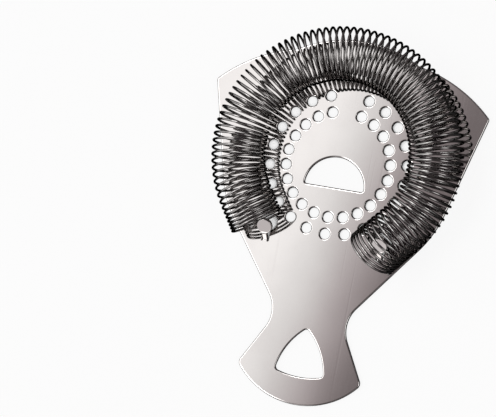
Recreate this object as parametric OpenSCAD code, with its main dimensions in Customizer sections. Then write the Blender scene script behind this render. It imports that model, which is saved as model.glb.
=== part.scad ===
// Hawthorne strainer: a stamped steel plate with a short flared handle, two ears and two
// rings of strain holes, and a soft coil spring held on two lanced tabs.
// Millimetres. The plate lies on its back at z = 0, +Y points away from the handle, and
// +Z points to the side that carries the spring.

/* [Plate] */
// Thickness of the sheet
plate_t = 1.5; // [1.3:0.1:1.5]
// Radius of the round body behind the ears
body_r = 44.2; // [42:0.1:46]
// Radius of the front edge between the ears
front_r = 46.8; // [46:0.1:49]
// Distance between the two ear tips, before they are rounded
ear_span = 104.8; // [100:0.2:110]
// Distance of the ear tips in front of the centre of the rings
ear_tip_y = 25; // [22:0.5:28]
// Radius of the curved front edge of an ear
ear_front_r = 57; // [55:1:60]
// Radius that rounds the tip of an ear
ear_tip_r = 1.2; // [0.8:0.1:2]

/* [Handle] */
// Slope of the shoulders, from the long axis
shoulder_angle = 37; // [34:0.5:40]
// Slope of the handle's flared sides, from the long axis
flare_angle = 28.5; // [26:0.5:31]
// Width of the handle at its end corners, before they are rounded
handle_w = 47.4; // [44:0.1:50]
// Distance of the end corners behind the centre of the rings
handle_corner_y = 78; // [75:0.5:82]
// Radius of the curved end of the handle
handle_end_r = 30; // [28:0.5:34]
// Radius that rounds the end corners
handle_corner_r = 2.5; // [1.5:0.1:4]
// Radius of the waist between body and handle
waist_r = 11.5; // [9:0.5:14]

/* [Strain holes] */
// Diameter of a strain hole
hole_d = 3.9; // [3:0.1:4]
// Places in each ring; the place on the front of the long axis has no hole
ring_places = 22; // [18:1:22]
// Radius of the inner ring
inner_ring_r = 19.7; // [19:0.1:20.5]
// Radius of the outer ring
outer_ring_r = 26; // [25.5:0.1:26.5]

/* [Half-moon opening] */
// Radius of the half-moon
moon_r = 11.3; // [9:0.1:12]
// Distance of its straight side behind the centre of the rings
moon_y = 8.6; // [7.5:0.1:9.5]
// Radius that rounds its two corners
moon_corner_r = 0.9; // [0.5:0.1:1.5]

/* [Handle opening] */
// Distance of its upper corner behind the centre of the rings, before it is rounded
opening_top_y = 61.3; // [61:0.1:63]
// Distance of its two lower corners behind the centre of the rings, before they are rounded
opening_corner_y = 77.8; // [76:0.1:79]
// Width across its two lower corners
opening_w = 18.6; // [16:0.1:20]
// Radius of its two bowed sides
opening_side_r = 26; // [24:0.5:34]
// Radius of its bowed end
opening_end_r = 30; // [26:0.5:36]
// Radius that rounds its corners
opening_corner_r = 1.4; // [0.8:0.1:2]

/* [Spring tabs] */
// Distance of each tab from the long axis
tab_x = 22; // [21.5:0.1:22.5]
// Distance of the bend of each tab behind the centre of the rings
tab_root_y = 31.4; // [31.2:0.1:32]
// Angle of a tab's neck above the plate
tab_neck_angle = 55; // [54:1:58]
// Length of the neck from the plate to its second bend
tab_neck_l = 3.9; // [3.9:0.1:4.2]
// Angle of a tab's round head above the plate
tab_head_angle = 32; // [32:1:35]
// Distance from the second bend to the centre of the round head
tab_head_reach = 2.6; // [2.4:0.1:2.8]
// Width of the neck
tab_neck_w = 1.8; // [1.5:0.1:2.2]
// Diameter of the round head
tab_head_d = 5.8; // [5:0.1:5.8]
// Gap that the lancing cut leaves round a tab
tab_gap = 0.4; // [0.3:0.1:0.6]

/* [Coil spring] */
// Diameter of the wire
wire_d = 0.9; // [0.8:0.05:0.95]
// Outer diameter of the coil
coil_d = 20.1; // [19.2:0.1:20.4]
// Radius of the round part of the coil's path
path_r = 36.8; // [36.4:0.1:37.4]
// Distance of the path's centre to the right of the long axis
path_x = 1.25; // [0.5:0.05:1.5]
// Distance of the path's centre in front of the centre of the rings
path_y = 2.9; // [2.6:0.1:3.3]
// Angle from the front to where the path runs straight towards the left tab
left_angle = 124; // [123:0.5:127]
// Angle from the front to where the path runs straight towards the right tab
right_angle = 130; // [128:0.5:131]
// Gap along the left run between the foot of its last turn and the tab's neck
left_gap = 2.8; // [1:0.1:4]
// Gap along the right run between the foot of its last turn and the tab's neck
right_gap = 0.6; // [0.3:0.1:1]
// How far the top of the last turn on the left leans back past its middle
left_lean = 1.2; // [0:0.1:2]
// How far the top of the last turn on the right leans back past its middle
right_lean = 3.6; // [3.4:0.1:3.8]
// Gap between the plate and the lowest point of the coil
coil_lift = 0.6; // [0.5:0.05:0.65]
// Distance between turns along the round part
pitch = 2.08; // [2:0.02:2.2]
// Distance between the last turns at each end
end_pitch = 1.1; // [1.05:0.05:1.3]

/* [Hidden] */
$fn = 96;

// ---- plane geometry -------------------------------------------------------------------

// Unit direction at an angle from the long axis, turning from +Y towards +X.
function heading(angle) = [sin(angle), cos(angle)];

// The direction a quarter turn clockwise from d.
function right_of(d) = [d[1], -d[0]];

// Where the line through p along d meets the line through q along e.
function crossing(p, d, q, e) = p + d * ((q - p) * right_of(e)) / (d * right_of(e));

// Where the line through p along d leaves the circle of radius r round c.
function exit_point(p, d, c, r) =
    let (along = d * (p - c), inside = r * r - (p - c) * (p - c))
    p + d * (sqrt(along * along + inside) - along);

// Where the circles of radius r round c and radius q round e meet, right of the way to e.
function meeting(c, r, e, q) =
    let (gap = norm(e - c), way = (e - c) / gap, along = (r * r - q * q + gap * gap) / 2 / gap)
    c + way * along + right_of(way) * sqrt(r * r - along * along);

// The point of the circle of radius r round c that lies towards p.
function rim_point(c, r, p) = c + (p - c) * r / norm(p - c);

// The same point on the other side of the long axis.
function other_side(p) = [-p[0], p[1]];

// A closed outline from its right half, listed from the top down.
function both_sides(half) =
    concat(half, [for (i = [len(half) - 1 : -1 : 0]) other_side(half[i])]);

// The origin lies under the middle of the whole length, from the handle's end to the coil.
handle_arc_y = -handle_corner_y + sqrt(pow(handle_end_r, 2) - pow(handle_w / 2, 2));
middle_y = (path_y + path_r + coil_d / 2 + handle_arc_y - handle_end_r) / 2;

module mirrored() {
    children();
    mirror([1, 0]) children();
}

// A rounding circle is this much larger than a tangent one, so it crosses the sides cleanly.
crossing_scale = 1.001;

// What lies between a corner and an arc that ends on both sides, next to start and end.
module corner_fill(corner, start, end, centre, r) {
    difference() {
        polygon([corner + (corner - centre) / 2, start, centre, end]);
        translate(centre) circle(r * crossing_scale);
    }
}

// Rounds a corner of the children with an arc that ends on both sides, next to start and end.
module round_corner(corner, start, end, centre, r) {
    difference() {
        children();
        corner_fill(corner, start, end, centre, r);
    }
}

// Rounds a corner and its twin on the other side of the long axis.
module round_corners(corner, start, end, centre, r) {
    round_corner(corner, start, end, centre, r)
        round_corner(other_side(corner), other_side(start), other_side(end),
                     other_side(centre), r)
            children();
}

// ---- plate ----------------------------------------------------------------------------

// Straight sides start this far out, a hair inside the round body that they touch.
touch_r = body_r - 0.05;

// Shoulder and handle on the right half, and the waist arc that joins them.
shoulder_dir = -heading(shoulder_angle);
shoulder_start = -touch_r * right_of(shoulder_dir);
flare_dir = heading(180 - flare_angle);
handle_corner = [handle_w / 2, -handle_corner_y];
waist_corner = crossing(shoulder_start, shoulder_dir, handle_corner, flare_dir);
waist_reach = waist_r * tan((shoulder_angle + flare_angle) / 2);
waist_start = waist_corner - shoulder_dir * waist_reach;
waist_end = waist_corner + flare_dir * waist_reach;
waist_centre = waist_start - right_of(shoulder_dir) * waist_r;

// Curved end of the handle, and the arc that rounds its corner on the right.
handle_arc_centre = [0, handle_arc_y];
handle_round = exit_point(handle_corner + right_of(flare_dir) * handle_corner_r, flare_dir,
                          handle_arc_centre, handle_end_r - handle_corner_r);

// Ear on the right half: its straight side touches the round body, its front is an arc.
ear_tip = [ear_span / 2, ear_tip_y];
ear_side_angle = atan2(ear_tip[0], ear_tip[1]) + acos(touch_r / norm(ear_tip));
ear_side_point = touch_r * heading(ear_side_angle);
ear_dir = (ear_tip - ear_side_point) / norm(ear_tip - ear_side_point);
ear_front_centre = ear_tip - ear_front_r * heading(45);
ear_round = exit_point(ear_side_point - right_of(ear_dir) * ear_tip_r, ear_dir,
                       ear_front_centre, ear_front_r - ear_tip_r);

// Handle opening: two bowed sides that meet at the top, and a bowed end.
opening_top = [0, -opening_top_y];
opening_corner = [opening_w / 2, -opening_corner_y];
opening_way = (opening_corner - opening_top) / norm(opening_corner - opening_top);
opening_half_side = norm(opening_corner - opening_top) / 2;
opening_side_centre = (opening_top + opening_corner) / 2
    + right_of(opening_way) * sqrt(pow(opening_side_r, 2) - pow(opening_half_side, 2));
opening_end_centre = [0, -opening_corner_y + sqrt(pow(opening_end_r, 2) - pow(opening_w / 2, 2))];
opening_round = meeting(opening_side_centre, opening_side_r - opening_corner_r,
                        opening_end_centre, opening_end_r - opening_corner_r);
opening_top_round = [0, opening_side_centre[1]
    + sqrt(pow(opening_side_r - opening_corner_r, 2) - pow(opening_side_centre[0], 2))];
opening_top_end = rim_point(opening_side_centre, opening_side_r, opening_top_round);

// Half-moon: the arc that rounds its right corner.
moon_corner = [moon_r, 0];
moon_round = [sqrt(pow(moon_r - moon_corner_r, 2) - pow(moon_corner_r, 2)), moon_corner_r];

module ear_outline() {
    round_corner(ear_tip, ear_round + right_of(ear_dir) * ear_tip_r,
                 rim_point(ear_front_centre, ear_front_r, ear_round), ear_round, ear_tip_r)
        intersection() {
            translate(ear_front_centre) circle(ear_front_r);
            polygon([[0, 0], ear_side_point, ear_tip + ear_dir * body_r,
                     [ear_front_centre[0], 2 * body_r]]);
        }
}

module handle_outline() {
    round_corners(handle_corner, handle_round - right_of(flare_dir) * handle_corner_r,
                  rim_point(handle_arc_centre, handle_end_r, handle_round),
                  handle_round, handle_corner_r)
        intersection() {
            translate(handle_arc_centre) circle(handle_end_r);
            polygon(both_sides([waist_corner - flare_dir * waist_r,
                                handle_corner + flare_dir * handle_end_r]));
        }
}

module plate_outline() {
    circle(body_r);
    intersection() {
        circle(front_r);
        translate([-body_r / 2, 0]) square([body_r, front_r]);
    }
    polygon(both_sides([shoulder_start, waist_corner + shoulder_dir * waist_r]));
    handle_outline();
    mirrored() {
        ear_outline();
        corner_fill(waist_corner, waist_start, waist_end, waist_centre, waist_r);
    }
}

module strain_rings() {
    for (ring_r = [inner_ring_r, outer_ring_r], place = [1 : ring_places - 1])
        rotate(place * 360 / ring_places) translate([0, ring_r]) circle(d = hole_d);
}

module half_moon() {
    translate([0, -moon_y])
        round_corners(moon_corner, [moon_round[0], 0], rim_point([0, 0], moon_r, moon_round),
                      moon_round, moon_corner_r)
            intersection() {
                circle(moon_r);
                translate([-moon_r, 0]) square([2 * moon_r, 2 * moon_r]);
            }
}

module handle_opening() {
    round_corner(opening_top, opening_top_end, other_side(opening_top_end),
                 opening_top_round, opening_corner_r)
        round_corners(opening_corner,
                      rim_point(opening_side_centre, opening_side_r, opening_round),
                      rim_point(opening_end_centre, opening_end_r, opening_round),
                      opening_round, opening_corner_r)
            intersection() {
                translate(opening_side_centre) circle(opening_side_r);
                translate(other_side(opening_side_centre)) circle(opening_side_r);
                translate(opening_end_centre) circle(opening_end_r);
            }
}

module tab_neck() {
    translate([-tab_neck_w / 2, 0]) square([tab_neck_w, tab_neck_l]);
}

// The round head, with the rest of the neck that reaches it from the second bend.
module tab_head() {
    translate([-tab_neck_w / 2, 0]) square([tab_neck_w, tab_head_reach]);
    translate([0, tab_head_reach]) circle(d = tab_head_d);
}

// What the lancing cut takes out of the flat sheet.
module tab_cut() {
    reach = tab_neck_l + tab_head_reach;
    width = tab_neck_w + 2 * tab_gap;
    translate([-width / 2, 0]) square([width, reach]);
    translate([0, reach]) circle(d = tab_head_d + 2 * tab_gap);
}

module tab_bend() {
    rotate([0, 90, 0]) cylinder(d = plate_t, h = tab_neck_w, center = true);
}

module tab_sheet() {
    translate([0, 0, -plate_t / 2]) linear_extrude(plate_t) children();
}

module spring_tab() {
    translate([tab_x, -tab_root_y, plate_t / 2]) {
        tab_bend();
        rotate([tab_neck_angle, 0, 0]) {
            tab_sheet() tab_neck();
            translate([0, tab_neck_l, 0]) {
                tab_bend();
                rotate([tab_head_angle - tab_neck_angle, 0, 0]) tab_sheet() tab_head();
            }
        }
    }
}

module strainer_plate() {
    color("gainsboro") translate([0, -middle_y, 0]) {
        linear_extrude(plate_t) difference() {
            plate_outline();
            strain_rings();
            half_moon();
            handle_opening();
            mirrored() translate([tab_x, -tab_root_y]) tab_cut();
        }
        spring_tab();
        mirror([1, 0, 0]) spring_tab();
    }
}

// ---- coil spring ----------------------------------------------------------------------

// The coil's path, measured along its length from the front, turns right for positive s.
function side_angle(s) = s < 0 ? left_angle : right_angle;
function arc_l(s) = path_r * side_angle(s) * PI / 180;
function path_angle(s) = sign(s) * min(1, abs(s) / arc_l(s)) * side_angle(s);
function path_straight(s) = sign(s) * max(0, abs(s) - arc_l(s));
function path_point(s) =
    [path_x, path_y] + path_r * heading(path_angle(s))
    + path_straight(s) * right_of(heading(path_angle(s)));

// Each straight run, its tail, is as long as the neck of its tab allows: the front corner of
// the neck, at the height of the wire's top, is this far along the run.
neck_top_z = plate_t / 2 + coil_lift + wire_d;
neck_y = -tab_root_y + neck_top_z / tan(tab_neck_angle) + plate_t / 2 / sin(tab_neck_angle);
function neck_reach(angle, centre_x) =
    ([tab_x + tab_neck_w / 2 - centre_x, neck_y - path_y] - path_r * heading(angle))
    * right_of(heading(angle));
left_tail_l = neck_reach(left_angle, -path_x) - wire_d / 2 - left_gap + left_lean;
right_tail_l = neck_reach(right_angle, path_x) - wire_d / 2 - right_gap + right_lean;

// The turns draw together along each tail: their distance falls from pitch to end_pitch.
function tail_rate(tail_l) = (pitch - end_pitch) / tail_l;
function tail_turns(tail_l) = ln(pitch / end_pitch) / tail_rate(tail_l);
function tail_run(n, tail_l) = end_pitch / tail_rate(tail_l) * (exp(n * tail_rate(tail_l)) - 1);
left_arc_l = arc_l(-1);
right_arc_l = arc_l(1);
left_turns = tail_turns(left_tail_l);
right_turns = tail_turns(right_tail_l);
turns = floor(left_turns + right_turns + (left_arc_l + right_arc_l) / pitch) + 0.5;
arc_pitch = (left_arc_l + right_arc_l) / (turns - left_turns - right_turns);
function path_at_turn(n) =
    n < left_turns ? tail_run(n, left_tail_l) - left_tail_l - left_arc_l :
    n > turns - right_turns ? right_arc_l + right_tail_l - tail_run(turns - n, right_tail_l) :
    (n - left_turns) * arc_pitch - left_arc_l;

// Near each end the turns lean over. The lean starts this far before the straight run, and
// is full after this length.
lean_lead = 6;
lean_run = 13;
function lean(s) =
    sign(s) * (s < 0 ? left_lean : right_lean)
    * max(0, min(1, (abs(s) - arc_l(s) + lean_lead) / lean_run));

// Twelve straight steps and a square wire keep each turn light.
steps_per_turn = 12;
wire_sides = 4;
turn_r = (coil_d - wire_d) / 2;
coil_z = plate_t + coil_lift + coil_d / 2;

// One corner of the wire, n turns along and at an angle round the wire's own axis. The wire
// ends on the outside of the coil on the right, and on the inside on the left.
function wire_point(n, angle) =
    let (phase = 360 * (n - turns), middle = path_at_turn(n),
         s = middle + lean(middle) * sin(phase),
         out = heading(path_angle(s)), along = right_of(out),
         r = turn_r + wire_d / 2 * cos(angle),
         flat = path_point(s) + out * r * cos(phase) + along * wire_d / 2 * sin(angle))
    [flat[0], flat[1], coil_z + r * sin(phase)];

module coil_spring() {
    rings = round(turns * steps_per_turn);
    points = [for (i = [0 : rings], k = [0 : wire_sides - 1])
              wire_point(i / steps_per_turn, k * 360 / wire_sides)];
    sides = [for (i = [0 : rings - 1], k = [0 : wire_sides - 1])
             let (a = i * wire_sides + k, b = i * wire_sides + (k + 1) % wire_sides)
             each [[a, b, a + wire_sides], [b, b + wire_sides, a + wire_sides]]];
    start_cap = [for (k = [wire_sides - 1 : -1 : 0]) k];
    end_cap = [for (k = [0 : wire_sides - 1]) rings * wire_sides + k];
    color("silver") translate([0, -middle_y, 0])
        polyhedron(points, concat(sides, [start_cap, end_cap]), convexity = 10);
}

strainer_plate();
coil_spring();
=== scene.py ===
"""A hawthorne strainer that lies on its back: a polished steel plate and a soft coil spring.

Everything is in metres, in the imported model's frame: +Y away from the handle, +Z towards
the side that carries the spring. The plate's outline follows the same arcs as the design.
"""
import math

import bmesh
import bpy
import numpy as np
from mathutils import Euler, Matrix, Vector


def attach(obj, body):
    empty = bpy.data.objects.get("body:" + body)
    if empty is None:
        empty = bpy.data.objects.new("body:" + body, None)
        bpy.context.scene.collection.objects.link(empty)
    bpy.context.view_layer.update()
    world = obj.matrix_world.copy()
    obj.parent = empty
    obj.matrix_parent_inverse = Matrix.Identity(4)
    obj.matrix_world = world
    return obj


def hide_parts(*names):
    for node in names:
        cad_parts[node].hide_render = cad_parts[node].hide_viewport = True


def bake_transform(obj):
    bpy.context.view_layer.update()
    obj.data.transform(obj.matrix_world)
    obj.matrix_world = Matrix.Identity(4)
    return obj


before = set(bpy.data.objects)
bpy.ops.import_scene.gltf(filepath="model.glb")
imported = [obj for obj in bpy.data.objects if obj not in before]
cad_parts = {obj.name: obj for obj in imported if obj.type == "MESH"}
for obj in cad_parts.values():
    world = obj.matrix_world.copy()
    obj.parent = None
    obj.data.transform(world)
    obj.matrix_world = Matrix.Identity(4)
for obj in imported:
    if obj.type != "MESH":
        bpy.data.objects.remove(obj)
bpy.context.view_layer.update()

MM = 0.001

# The design's own dimensions, in millimetres.
PLATE_T = 1.5
BODY_R = 44.2
FRONT_R = 46.8
EAR_SPAN = 104.8
EAR_TIP_Y = 25
EAR_FRONT_R = 57
EAR_TIP_R = 1.2
SHOULDER_ANGLE = 37
FLARE_ANGLE = 28.5
HANDLE_W = 47.4
HANDLE_CORNER_Y = 78
HANDLE_END_R = 30
HANDLE_CORNER_R = 2.5
WAIST_R = 11.5
HOLE_D = 3.9
RING_PLACES = 22
RING_RADII = (19.7, 26)
MOON_R = 11.3
MOON_Y = 8.6
MOON_CORNER_R = 0.9
OPENING_TOP_Y = 61.3
OPENING_CORNER_Y = 77.8
OPENING_W = 18.6
OPENING_SIDE_R = 26
OPENING_END_R = 30
OPENING_CORNER_R = 1.4
TAB_X = 22
TAB_ROOT_Y = 31.4
TAB_NECK_ANGLE = 55
TAB_NECK_L = 3.9
TAB_HEAD_ANGLE = 32
TAB_HEAD_REACH = 2.6
TAB_NECK_W = 1.8
TAB_HEAD_D = 5.8
TAB_GAP = 0.4
WIRE_D = 0.9
COIL_D = 20.1
PATH_R = 36.8
PATH_X = 1.25
PATH_Y = 2.9
COIL_LIFT = 0.6
PITCH = 2.08
END_PITCH = 1.1
LEAN_LEAD = 6
LEAN_RUN = 13
# The coil's two runs towards its ends, on the left and on the right: where each starts on the
# path's round part, how long it is, and how far the tops of its turns lean back.
PATH_ANGLE = (124, 130)
TAIL_L = (10.82, 13.0)
LEAN = (1.2, 3.6)

# The origin lies under the middle of the whole length, from the handle's end to the coil.
HANDLE_ARC_Y = -HANDLE_CORNER_Y + math.sqrt(HANDLE_END_R**2 - (HANDLE_W / 2) ** 2)
MIDDLE_Y = (PATH_Y + PATH_R + COIL_D / 2 + HANDLE_ARC_Y - HANDLE_END_R) / 2

# How the sheet is finished: edge radii, and the radii of the tabs' bends in mid-sheet.
OUTLINE_EDGE = 0.55
MOON_EDGE = 0.6
HOLE_EDGE = 0.45
TAB_EDGE = 0.3
ROOT_BEND_R = 1.3
NECK_BEND_R = 2.0

# The camera: the point it looks at (mm), its turns (degrees), its distance (m) and lens (mm).
CAMERA_TARGET = (-28.56, -2.115, 8.69)
CAMERA_TURNS = (6.54, 15.73, 11.23)
CAMERA_DISTANCE = 0.6633
CAMERA_LENS = 130.6

# The part of the sky that the flat plate mirrors: x and y of its direction.
MIRRORED_X = -0.286
MIRRORED_Y = 0.055


# ---- outlines, in millimetres from the centre of the rings -----------------------------


def heading(angle):
    """Unit direction at an angle in degrees from +Y, turning towards +X."""
    turn = np.radians(angle)
    return np.stack([np.sin(turn), np.cos(turn)], axis=-1)


def angle_of(direction):
    return math.degrees(math.atan2(direction[0], direction[1]))


def right_of(direction):
    return np.array([direction[1], -direction[0]])


def arc(centre, radius, start, end, step=0.35):
    """Points of an arc between two headings. A negative radius curves the other way."""
    length = abs(math.radians(end - start) * radius)
    count = max(4, int(length / step))
    return np.asarray(centre) + radius * heading(np.linspace(start, end, count + 1))


def crossing(p, d, q, e):
    """Where the line through p along d meets the line through q along e."""
    across = right_of(e)
    return p + d * ((q - p) @ across) / (d @ across)


def exit_point(p, d, centre, radius):
    """Where the line through p along d leaves a circle."""
    along = d @ (p - centre)
    inside = radius**2 - (p - centre) @ (p - centre)
    return p + d * (math.sqrt(along**2 + inside) - along)


def meeting(c, r, e, q):
    """Where two circles meet, right of the way from c to e."""
    gap = np.linalg.norm(e - c)
    way = (e - c) / gap
    along = (r**2 - q**2 + gap**2) / 2 / gap
    return c + way * along + right_of(way) * math.sqrt(r**2 - along**2)


def both_sides(half):
    """A closed outline from its right half, which runs from the top to the bottom."""
    points = np.concatenate([half, half[::-1] * [-1, 1]])
    keep = np.linalg.norm(points - np.roll(points, 1, axis=0), axis=1) > 1e-4
    return points[keep]


def plate_outline():
    centre = np.zeros(2)
    shoulder_normal = 90 + SHOULDER_ANGLE
    flare_normal = 90 - FLARE_ANGLE
    shoulder_start = BODY_R * heading(shoulder_normal)
    shoulder_dir = heading(shoulder_normal + 90)
    flare_dir = heading(flare_normal + 90)
    corner = np.array([HANDLE_W / 2, -HANDLE_CORNER_Y])

    waist_corner = crossing(shoulder_start, shoulder_dir, corner, flare_dir)
    reach = WAIST_R * math.tan(math.radians(SHOULDER_ANGLE + FLARE_ANGLE) / 2)
    waist_centre = waist_corner - shoulder_dir * reach + WAIST_R * heading(shoulder_normal)

    end_drop = math.sqrt(HANDLE_END_R**2 - (HANDLE_W / 2) ** 2)
    end_centre = np.array([0, end_drop - HANDLE_CORNER_Y])
    inset = corner - heading(flare_normal) * HANDLE_CORNER_R
    round_centre = exit_point(inset, flare_dir, end_centre, HANDLE_END_R - HANDLE_CORNER_R)
    end_start = angle_of(round_centre - end_centre)

    tip = np.array([EAR_SPAN / 2, EAR_TIP_Y])
    side_normal = angle_of(tip) + math.degrees(math.acos(BODY_R / np.linalg.norm(tip)))
    ear_centre = tip - EAR_FRONT_R * heading(45)
    side_start = BODY_R * heading(side_normal) - EAR_TIP_R * heading(side_normal)
    tip_centre = exit_point(side_start, heading(side_normal - 90), ear_centre,
                            EAR_FRONT_R - EAR_TIP_R)
    notch = meeting(ear_centre, EAR_FRONT_R, centre, FRONT_R)
    ear_end = angle_of(tip_centre - ear_centre)

    return both_sides(np.concatenate([
        arc(centre, FRONT_R, 0, angle_of(notch)),
        arc(ear_centre, EAR_FRONT_R, angle_of(notch - ear_centre), ear_end),
        arc(tip_centre, EAR_TIP_R, ear_end, side_normal, step=0.1),
        arc(centre, BODY_R, side_normal, shoulder_normal),
        arc(waist_centre, -WAIST_R, shoulder_normal, flare_normal),
        arc(round_centre, HANDLE_CORNER_R, flare_normal, end_start, step=0.2),
        arc(end_centre, HANDLE_END_R, end_start, 180),
    ]))


def strain_holes():
    places = np.arange(1, RING_PLACES) * 360 / RING_PLACES
    return [arc(radius * heading(place), HOLE_D / 2, 0, 352.5, step=0.25)
            for radius in RING_RADII for place in places]


def half_moon():
    centre = np.array([0, -MOON_Y])
    reach = math.sqrt((MOON_R - MOON_CORNER_R) ** 2 - MOON_CORNER_R**2)
    round_centre = centre + [reach, MOON_CORNER_R]
    turn = angle_of(round_centre - centre)
    return both_sides(np.concatenate([
        arc(centre, MOON_R, 0, turn),
        arc(round_centre, MOON_CORNER_R, turn, 180, step=0.15),
    ]))


def handle_opening():
    top = np.array([0, -OPENING_TOP_Y])
    corner = np.array([OPENING_W / 2, -OPENING_CORNER_Y])
    half_side = np.linalg.norm(corner - top) / 2
    way = (corner - top) / (2 * half_side)
    depth = math.sqrt(OPENING_SIDE_R**2 - half_side**2)
    side_centre = (top + corner) / 2 + right_of(way) * depth
    end_drop = math.sqrt(OPENING_END_R**2 - (OPENING_W / 2) ** 2)
    end_centre = np.array([0, end_drop - OPENING_CORNER_Y])
    side_inner = OPENING_SIDE_R - OPENING_CORNER_R
    low_centre = meeting(side_centre, side_inner, end_centre, OPENING_END_R - OPENING_CORNER_R)
    top_centre = np.array([0, side_centre[1] + math.sqrt(side_inner**2 - side_centre[0] ** 2)])
    side_start = angle_of(top_centre - side_centre)
    side_end = angle_of(low_centre - side_centre)
    end_start = angle_of(low_centre - end_centre)
    return both_sides(np.concatenate([
        arc(top_centre, OPENING_CORNER_R, 0, side_start, step=0.15),
        arc(side_centre, OPENING_SIDE_R, side_start, side_end),
        arc(low_centre, OPENING_CORNER_R, side_end, end_start, step=0.15),
        arc(end_centre, OPENING_END_R, end_start, 180),
    ]))


def tab_slot():
    """The cut round a tab: out along its wide side, and back round the tab itself.

    It is flat, with the bend's start at y = 0. Its slits end in half circles.
    """
    half, gap = TAB_NECK_W / 2, TAB_GAP
    reach = tab_path()[-1][0] - TAB_HEAD_D / 2
    outer = arc_with_sides(half + gap, TAB_HEAD_D / 2 + gap, reach)
    inner = arc_with_sides(half, TAB_HEAD_D / 2, reach)
    slit = arc([half + gap / 2, 0], gap / 2, 90, 270, step=0.08)[1:-1]
    return np.concatenate([outer, slit, inner[::-1], (slit * [-1, 1])[::-1]])


def arc_with_sides(half, radius, reach, step=0.15):
    """Up the left side of a neck, clockwise round its head, and down the right side."""
    side = math.degrees(math.asin(half / radius))
    neck_end = reach - math.cos(math.radians(side)) * radius
    neck_y = np.linspace(neck_end, 0, int(neck_end / step) + 1)
    neck = np.stack([np.full_like(neck_y, half), neck_y], axis=1)
    head = arc([0, reach], radius, side - 180, 180 - side, step=step)
    return np.concatenate([neck[::-1] * [-1, 1], head[1:-1], neck])


def tab_path():
    """(distance, y, z, slope in degrees) along the middle of a bent tab, from the bend's start."""
    bends = [(ROOT_BEND_R, TAB_NECK_ANGLE), (NECK_BEND_R, TAB_HEAD_ANGLE - TAB_NECK_ANGLE)]
    cut = [radius * math.tan(math.radians(abs(turn)) / 2) for radius, turn in bends]
    runs = [TAB_NECK_L - cut[0] - cut[1], TAB_HEAD_REACH + TAB_HEAD_D / 2 - cut[1]]
    stations = [(0.0, -cut[0], 0.0, 0.0)]
    for (radius, turn), run in zip(bends, runs):
        steps = [(radius * math.radians(abs(turn)) / 12, turn / 12)] * 12 + [(run, 0)]
        for length, change in steps:
            distance, y, z, slope = stations[-1]
            middle = math.radians(slope + change / 2)
            stations.append((distance + length, y + length * math.cos(middle),
                             z + length * math.sin(middle), slope + change))
    return stations


# ---- meshes ------------------------------------------------------------------------------


def sheet_inset(loop, distance):
    """The loop moved into the sheet, which lies on its left."""
    before = loop - np.roll(loop, 1, axis=0)
    after = np.roll(loop, -1, axis=0) - loop
    before /= np.linalg.norm(before, axis=1, keepdims=True)
    after /= np.linalg.norm(after, axis=1, keepdims=True)
    both = before + after
    left = np.stack([-both[:, 1], both[:, 0]], axis=1)
    spread = 1 + np.sum(before * after, axis=1, keepdims=True)
    return loop + left / np.maximum(spread, 0.4) * distance


def turned(loop, anticlockwise):
    x, y = loop.T
    area = np.sum(x * np.roll(y, -1) - np.roll(x, -1) * y)
    return loop if (area > 0) == anticlockwise else loop[::-1]


def link(name, mesh, material):
    data = bpy.data.meshes.new(name)
    mesh.to_mesh(data)
    mesh.free()
    data.materials.append(material)
    piece = bpy.data.objects.new(name, data)
    bpy.context.scene.collection.objects.link(piece)
    return piece


def rounded_sheet(loops, edges, steps=5):
    """A sheet PLATE_T thick inside the first loop and outside the others, with round edges.

    Returns the mesh, and its vertices' normals and rim values: 1 on the edge, 0 on the faces.
    """
    turn = np.radians(np.linspace(0, 90, steps + 1))
    mesh = bmesh.new()
    normals, rim = [], []
    top_wires, bottom_wires = [], []
    for index, (loop, edge) in enumerate(zip(loops, edges)):
        loop = turned(loop, index == 0)
        outward = loop - sheet_inset(loop, 1)
        outward /= np.linalg.norm(outward, axis=1, keepdims=True)
        upper = [(edge * (1 - math.cos(t)), PLATE_T - edge * (1 - math.sin(t)), t) for t in turn]
        lower = [(depth, PLATE_T - height, -t) for depth, height, t in reversed(upper)]
        rings = []
        for depth, height, t in lower + upper:
            flat = sheet_inset(loop, depth)
            rings.append([mesh.verts.new((x, y, height)) for x, y in flat])
            normals += [(x * math.cos(t), y * math.cos(t), math.sin(t)) for x, y in outward]
            rim += [math.cos(t)] * len(loop)
        for low, high in zip(rings, rings[1:]):
            for i in range(len(loop)):
                mesh.faces.new((low[i - 1], low[i], high[i], high[i - 1]))
        for wires, ring in ((bottom_wires, rings[0]), (top_wires, rings[-1])):
            wires += [mesh.edges.get((ring[i - 1], ring[i])) for i in range(len(ring))]
    bmesh.ops.triangle_fill(mesh, use_beauty=True, edges=bottom_wires, normal=(0, 0, -1))
    bmesh.ops.triangle_fill(mesh, use_beauty=True, edges=top_wires, normal=(0, 0, 1))
    for face in mesh.faces:
        face.smooth = True
    return mesh, np.array(normals), np.array(rim)


def bend_tab(mesh, normals, side):
    """Bends one tab up out of the flat sheet. side is 1 on the right and -1 on the left."""
    distance, path_y, path_z, slope = np.array(tab_path()).T
    start = -TAB_ROOT_Y + path_y[0]
    reach = distance[-1] - TAB_HEAD_D / 2
    for vertex in mesh.verts:
        x, y = vertex.co.x - side * TAB_X, vertex.co.y - start
        in_neck = abs(x) < (TAB_NECK_W + TAB_GAP) / 2 and 0 < y < reach
        if not in_neck and math.hypot(x, y - reach) > (TAB_HEAD_D + TAB_GAP) / 2:
            continue
        angle = math.radians(np.interp(y, distance, slope))
        height = vertex.co.z - PLATE_T / 2
        vertex.co.y = -TAB_ROOT_Y + np.interp(y, distance, path_y) - height * math.sin(angle)
        vertex.co.z = PLATE_T / 2 + np.interp(y, distance, path_z) + height * math.cos(angle)
        _, ny, nz = normals[vertex.index]
        normals[vertex.index, 1] = ny * math.cos(angle) - nz * math.sin(angle)
        normals[vertex.index, 2] = ny * math.sin(angle) + nz * math.cos(angle)


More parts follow.
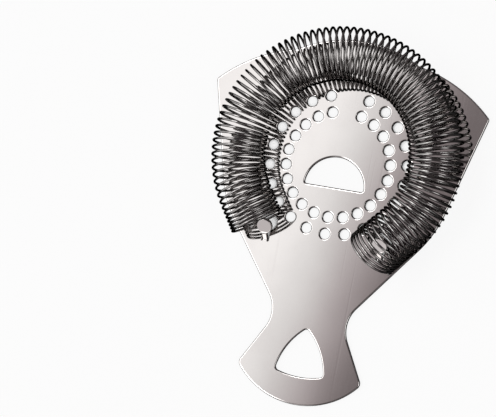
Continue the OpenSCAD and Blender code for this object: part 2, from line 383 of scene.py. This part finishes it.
def build_plate(material):
    slot = tab_slot() + [0, -TAB_ROOT_Y + tab_path()[0][1]]
    holes = strain_holes()
    loops = [plate_outline(), half_moon(), handle_opening(),
             slot + [TAB_X, 0], slot - [TAB_X, 0]] + holes
    edges = [OUTLINE_EDGE, MOON_EDGE, HOLE_EDGE, TAB_EDGE, TAB_EDGE]
    edges += [HOLE_EDGE] * len(holes)
    mesh, normals, rim = rounded_sheet(loops, edges)
    mesh.verts.index_update()
    bend_tab(mesh, normals, 1)
    bend_tab(mesh, normals, -1)
    bmesh.ops.translate(mesh, verts=mesh.verts, vec=(0, -MIDDLE_Y, 0))
    bmesh.ops.scale(mesh, verts=mesh.verts, vec=(MM, MM, MM))
    plate = link("stamped_plate", mesh, material)
    attribute = plate.data.attributes.new("rim", "FLOAT", "POINT")
    attribute.data.foreach_set("value", rim.astype(np.float32))
    plate.data.normals_split_custom_set_from_vertices(normals.tolist())
    return plate


def side_of(s, values):
    """The left or the right one of two values, for distances from the front of the coil."""
    return np.where(s < 0, values[0], values[1])


def arc_length(s):
    return PATH_R * np.radians(side_of(s, PATH_ANGLE))


def path_frame(s):
    """Point, outward and onward directions of the coil's path at a distance from the front."""
    share = np.minimum(1, np.abs(s) / arc_length(s))
    out = heading(np.sign(s) * share * side_of(s, PATH_ANGLE))
    onward = np.stack([out[:, 1], -out[:, 0]], axis=1)
    straight = np.sign(s) * np.maximum(0, np.abs(s) - arc_length(s))
    return out * PATH_R + onward * straight[:, None] + [PATH_X, PATH_Y], out, onward


def coil_turns():
    """Turns in each tail, where they draw together, and in the whole coil."""
    tails = [math.log(PITCH / END_PITCH) * length / (PITCH - END_PITCH) for length in TAIL_L]
    arcs = PATH_R * math.radians(sum(PATH_ANGLE))
    return tails, math.floor(sum(tails) + arcs / PITCH) + 0.5


def path_at_turn(n):
    """Distance along the path after n turns."""
    (left_turns, right_turns), turns = coil_turns()
    left_arc, right_arc = (PATH_R * math.radians(angle) for angle in PATH_ANGLE)

    def run(m, tail_turns, tail):
        rate = (PITCH - END_PITCH) / tail
        return END_PITCH / rate * (np.exp(np.minimum(m, tail_turns) * rate) - 1)

    pitch = (left_arc + right_arc) / (turns - left_turns - right_turns)
    s = (n - left_turns) * pitch - left_arc
    left = run(n, left_turns, TAIL_L[0]) - TAIL_L[0] - left_arc
    right = right_arc + TAIL_L[1] - run(turns - n, right_turns, TAIL_L[1])
    return np.where(n < left_turns, left, np.where(n > turns - right_turns, right, s))


def build_coil(material, steps=48, sides=12):
    """The wound wire, with round ends, and its UV map in units of 10 mm of wire."""
    _, turns = coil_turns()
    n = np.linspace(0, turns, int(turns * steps) + 1)
    phase = 2 * math.pi * (n - turns)
    s = path_at_turn(n)
    share = np.clip((np.abs(s) - arc_length(s) + LEAN_LEAD) / LEAN_RUN, 0, 1)
    s += np.sign(s) * side_of(s, LEAN) * share * np.sin(phase)
    point, out, _ = path_frame(s)
    turn_r = (COIL_D - WIRE_D) / 2
    rise = np.array([0, 0, 1])
    out = np.pad(out, ((0, 0), (0, 1)))
    radial = out * np.cos(phase)[:, None] + rise * np.sin(phase)[:, None]
    centre = np.pad(point, ((0, 0), (0, 1))) + radial * turn_r
    centre += [0, -MIDDLE_Y, PLATE_T + COIL_LIFT + COIL_D / 2]

    tangent = np.gradient(centre, axis=0)
    tangent /= np.linalg.norm(tangent, axis=1, keepdims=True)
    across = np.cross(tangent, radial)
    across /= np.linalg.norm(across, axis=1, keepdims=True)
    radial = np.cross(across, tangent)
    length = np.concatenate([[0], np.cumsum(np.linalg.norm(np.diff(centre, axis=0), axis=1))])

    # A hemisphere's rings at each end: (station, offset along the wire, share of the radius).
    cap = [(math.sin(a) * WIRE_D / 2, math.cos(a)) for a in np.radians([85, 60, 30])]
    stations = [(0, -offset, share) for offset, share in cap]
    stations += [(i, 0, 1) for i in range(len(n))]
    stations += [(len(n) - 1, offset, share) for offset, share in reversed(cap)]

    mesh = bmesh.new()
    uv = mesh.loops.layers.uv.new("wire")
    angles = np.arange(sides) * 2 * math.pi / sides
    rings, along = [], []
    for i, offset, share in stations:
        middle = centre[i] + tangent[i] * offset
        ring = middle + share * WIRE_D / 2 * (np.cos(angles)[:, None] * radial[i]
                                              + np.sin(angles)[:, None] * across[i])
        rings.append([mesh.verts.new(corner * MM) for corner in ring])
        along.append((length[i] + offset) / 10)
    for j in range(len(rings) - 1):
        for k in range(sides):
            corners = (rings[j][k], rings[j][(k + 1) % sides],
                       rings[j + 1][(k + 1) % sides], rings[j + 1][k])
            face = mesh.faces.new(corners)
            face.smooth = True
            spots = ((k, j), (k + 1, j), (k + 1, j + 1), (k, j + 1))
            for corner, (around, station) in zip(face.loops, spots):
                corner[uv].uv = (around / sides, along[station])
    for ring, flip in ((rings[0], True), (rings[-1], False)):
        face = mesh.faces.new(ring[::-1] if flip else ring)
        face.smooth = True
    bmesh.ops.recalc_face_normals(mesh, faces=mesh.faces)
    return link("wire_coil", mesh, material)


# ---- materials ---------------------------------------------------------------------------


def add(tree, kind, inputs=None, **settings):
    """A new node, with its inputs given as values or as other nodes' outputs."""
    made = tree.nodes.new(kind)
    for name, value in settings.items():
        setattr(made, name, value)
    for name, value in (inputs or {}).items():
        if isinstance(value, bpy.types.NodeSocket):
            tree.links.new(value, made.inputs[name])
        else:
            made.inputs[name].default_value = value
    return made


def maths(tree, operation, a, b=0.0):
    return add(tree, "ShaderNodeMath", {0: a, 1: b}, operation=operation).outputs[0]


def total(tree, value, *others):
    for other in others:
        value = maths(tree, "ADD", value, other)
    return value


def product(tree, value, *others):
    for other in others:
        value = maths(tree, "MULTIPLY", value, other)
    return value


def ramp(tree, value, from_low, from_high, to_low, to_high):
    """A smooth step from one level to another as the value goes from low to high."""
    given = {"Value": value, "From Min": from_low, "From Max": from_high,
             "To Min": to_low, "To Max": to_high}
    made = add(tree, "ShaderNodeMapRange", given, interpolation_type="SMOOTHSTEP")
    return made.outputs[0]


def noise(tree, place, scale, detail=2.0, roughness=0.5, stretch=(1, 1, 1), tilt=0.0):
    """Noise with `scale` features to the unit, drawn out where `stretch` is below 1."""
    given = {"Vector": place, "Scale": stretch, "Rotation": (0, 0, tilt)}
    moved = add(tree, "ShaderNodeMapping", given).outputs[0]
    given = {"Vector": moved, "Scale": scale, "Detail": detail, "Roughness": roughness}
    return add(tree, "ShaderNodeTexNoise", given).outputs["Fac"]


def shaded(name):
    """A material, its node tree and its Principled shader."""
    material = bpy.data.materials.new(name)
    material.use_nodes = True
    return material, material.node_tree, material.node_tree.nodes["Principled BSDF"]


def colours(tree, factor, low, high):
    """A mix of two colours. The first may be another node's output."""
    start = low if isinstance(low, bpy.types.NodeSocket) else (*low, 1)
    given = {0: factor, 6: start, 7: (*high, 1)}
    return add(tree, "ShaderNodeMix", given, data_type="RGBA").outputs[2]


def bumps(tree, layers):
    """Stacks (height, distance in metres) layers into one normal."""
    normal = None
    for height, distance in layers:
        given = {"Height": height, "Distance": distance, "Strength": 1.0}
        if normal:
            given["Normal"] = normal
        normal = add(tree, "ShaderNodeBump", given).outputs[0]
    return normal


def polished_sheet():
    """Mirror-polished stainless steel with faint polishing lines, smears and hairline scratches.

    Its cut edges are duller than its faces, and a painted shade darkens them into dark outlines.
    """
    material, tree, shader = shaded("polished_sheet")
    place = add(tree, "ShaderNodeTexCoord").outputs["Object"]
    rim = add(tree, "ShaderNodeAttribute", attribute_name="rim").outputs["Fac"]
    cut = ramp(tree, rim, 0.15, 0.75, 0, 1)
    wave = noise(tree, place, 30, detail=1)
    smear = noise(tree, place, 70, detail=5, roughness=0.6)
    lines = noise(tree, place, 2600, detail=3, stretch=(1, 0.03, 1), tilt=0.12)
    hairs = noise(tree, place, 900, detail=2, stretch=(1, 0.012, 1), tilt=-0.9)
    hair = ramp(tree, hairs, 0.66, 0.72, 0, 1)

    smeared = ramp(tree, smear, 0.35, 0.75, 0.035, 0.065)
    lined = ramp(tree, lines, 0.3, 0.7, -0.005, 0.008)
    rough = total(tree, smeared, lined, product(tree, cut, 0.14))
    tree.links.new(rough, shader.inputs["Roughness"])
    tint = ramp(tree, total(tree, smear, product(tree, hair, 0.2)), 0.3, 0.9, 0, 1)
    face = colours(tree, tint, (0.635, 0.61, 0.597), (0.60, 0.572, 0.561))
    # The cut edges' near-black colour is painted shade: it draws dark outlines along every edge.
    tree.links.new(colours(tree, cut, face, (0.19, 0.18, 0.175)), shader.inputs["Base Color"])
    normal = bumps(tree, [(wave, 0.00004), (lines, 0.0000002), (hair, -0.0000004)])
    tree.links.new(normal, shader.inputs["Normal"])
    shader.inputs["Metallic"].default_value = 1.0
    return material


def spring_wire():
    """Drawn steel wire: fine lines along it, dull film in patches, painted shade darkening it and
    its sides.
    """
    material, tree, shader = shaded("spring_wire")
    along = add(tree, "ShaderNodeUVMap", uv_map="wire").outputs["UV"]
    drawn = noise(tree, along, 9, detail=3, stretch=(1, 0.06, 1))
    patch = noise(tree, along, 1.2, detail=4, roughness=0.65)
    specks = noise(tree, along, 14, detail=2, stretch=(0.6, 1, 1))
    speck = ramp(tree, specks, 0.68, 0.74, 0, 1)

    filmed = ramp(tree, patch, 0.35, 0.7, 0.06, 0.14)
    lined = ramp(tree, drawn, 0.35, 0.65, -0.02, 0.05)
    rough = total(tree, filmed, lined, product(tree, speck, 0.15))
    tree.links.new(rough, shader.inputs["Roughness"])
    tint = total(tree, ramp(tree, patch, 0.35, 0.75, 0, 0.6), product(tree, speck, 0.4))
    # Both colours are far darker than clean steel: painted shade for the coil's dark look. The
    # darker one marks the dull film and specks.
    tree.links.new(colours(tree, tint, (0.21, 0.202, 0.198), (0.145, 0.137, 0.133)),
                   shader.inputs["Base Color"])
    normal = bumps(tree, [(drawn, 0.000002), (speck, -0.000002)])
    tree.links.new(normal, shader.inputs["Normal"])
    shader.inputs["Metallic"].default_value = 1.0
    # A near-black edge tint: painted shade that darkens the wire's sides into dark outlines.
    shader.inputs["Specular Tint"].default_value = (0.03, 0.03, 0.03, 1)
    return material


def matt_floor():
    """A grainy matt floor that glows pale to the camera, with painted shade dimming the glow in
    narrow spaces under the part.

    Reflections see it dark, as the metal in the photograph mirrors a dark room.
    """
    material, tree, shader = shaded("pale_floor")
    place = add(tree, "ShaderNodeTexCoord").outputs["Object"]
    grain = noise(tree, place, 220, detail=4)
    cloud = noise(tree, place, 3, detail=3)
    tree.links.new(colours(tree, cloud, (0.055, 0.055, 0.055), (0.045, 0.045, 0.045)),
                   shader.inputs["Base Color"])
    seen = add(tree, "ShaderNodeLightPath").outputs["Is Camera Ray"]
    # Painted shade: the glow dims where the part closes over the floor.
    painted_gap_shade = add(tree, "ShaderNodeAmbientOcclusion", {"Distance": 0.02}, samples=12)
    glow = product(tree, seen, ramp(tree, painted_gap_shade.outputs["AO"], 0.12, 0.36, 0.1, 0.9))
    tree.links.new(glow, shader.inputs["Emission Strength"])
    shader.inputs["Emission Color"].default_value = (1, 1, 1, 1)
    tree.links.new(bumps(tree, [(grain, 0.00003)]), shader.inputs["Normal"])
    shader.inputs["Roughness"].default_value = 0.9
    shader.inputs["Specular IOR Level"].default_value = 0.1
    return material


# ---- studio ------------------------------------------------------------------------------


def studio_light():
    """Soft lights in a dim sky, placed by the x and y of the direction they shine from."""
    world = bpy.data.worlds.new("studio")
    bpy.context.scene.world = world
    world.use_nodes = True
    tree = world.node_tree
    sky = add(tree, "ShaderNodeTexCoord").outputs["Generated"]
    x, y, _ = add(tree, "ShaderNodeSeparateXYZ", {"Vector": sky}).outputs
    aside = maths(tree, "ABSOLUTE", y)
    off_mirrored_x = maths(tree, "ABSOLUTE", maths(tree, "SUBTRACT", x, MIRRORED_X))
    off_mirrored_y = maths(tree, "ABSOLUTE", maths(tree, "SUBTRACT", y, MIRRORED_Y))
    near_y = add(tree, "ShaderNodeClamp", {"Value": y, "Min": -0.25, "Max": 0.25}).outputs[0]
    leftward = maths(tree, "SUBTRACT", product(tree, near_y, 0.22), x)

    # The left half of the sky: a broad soft light with a brighter core in it. Its edge lies
    # across the part that the plate mirrors, and two strips beside that part light the turns.
    dim = ramp(tree, leftward, 0.0, 0.20, 0.09, 0.22)
    softbox = ramp(tree, leftward, 0.2017, 0.2867, 0, 1.20)
    core = product(tree, ramp(tree, leftward, 0.40, 0.48, 0, 4.5),
                   ramp(tree, leftward, 0.54, 0.62, 1, 0.1))
    left = product(tree, total(tree, softbox, core), ramp(tree, aside, 0.35, 0.75, 1, 0.10))
    strips = product(tree, ramp(tree, off_mirrored_y, 0.13, 0.22, 0, 8.0),
                     ramp(tree, off_mirrored_y, 0.38, 0.50, 1, 0),
                     ramp(tree, leftward, 0.20, 0.29, 0, 1),
                     ramp(tree, leftward, 0.38, 0.50, 1, 0))
    right = product(tree, ramp(tree, x, 0.45, 0.65, 0, 4.0), ramp(tree, x, 0.80, 0.90, 1, 0),
                    ramp(tree, aside, 0.20, 0.45, 1, 0))

    # Low lights: past the handle, in the corner right of it, and a weak one all round.
    handle = total(tree, ramp(tree, y, -0.92, -0.84, 1.8, 0), ramp(tree, y, -0.76, -0.60, 0.5, 0))
    handle = product(tree, handle, ramp(tree, x, -0.15, 0.10, 1, 0))
    corner = product(tree, ramp(tree, y, -0.60, -0.45, 0.5, 0), ramp(tree, x, 0.40, 0.6, 0, 1))
    fill = product(tree, ramp(tree, aside, 0.50, 0.75, 0, 0.25),
                   ramp(tree, off_mirrored_x, 0.22, 0.45, 0, 1))
    level = total(tree, dim, left, strips, right, handle, fill, corner)

    # The camera itself sees an even pale background. The dim parts are slightly pink.
    seen = add(tree, "ShaderNodeLightPath").outputs["Is Camera Ray"]
    shown = add(tree, "ShaderNodeMix", {0: seen, 2: level, 3: 0.97}).outputs[0]
    background = tree.nodes["Background"]
    tree.links.new(shown, background.inputs["Strength"])
    tint = maths(tree, "MAXIMUM", seen, ramp(tree, level, 0.1, 1.2, 0, 1))
    tree.links.new(colours(tree, tint, (1.1, 0.96, 0.985), (1, 1, 1)), background.inputs["Color"])


def lay_floor():
    mesh = bmesh.new()
    bmesh.ops.create_circle(mesh, cap_ends=True, segments=96, radius=6)
    floor = link("floor", mesh, matt_floor())
    floor.location.z = -0.00005


def place_camera():
    data = bpy.data.cameras.new("camera")
    data.lens = CAMERA_LENS
    data.sensor_width = 36
    data.clip_start, data.clip_end = 0.01, 30
    camera = bpy.data.objects.new("camera", data)
    bpy.context.scene.collection.objects.link(camera)
    camera.rotation_euler = [math.radians(turn) for turn in CAMERA_TURNS]
    back = Euler(camera.rotation_euler).to_matrix() @ Vector((0, 0, CAMERA_DISTANCE))
    camera.location = Vector(CAMERA_TARGET) * MM + back
    bpy.context.scene.camera = camera


plate = build_plate(polished_sheet())
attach(plate, "plate")
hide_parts("strainer_plate")

coil = build_coil(spring_wire())
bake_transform(coil)
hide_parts("coil_spring")

studio_light()
lay_floor()
place_camera()
bpy.context.scene.view_settings.view_transform = "Standard"
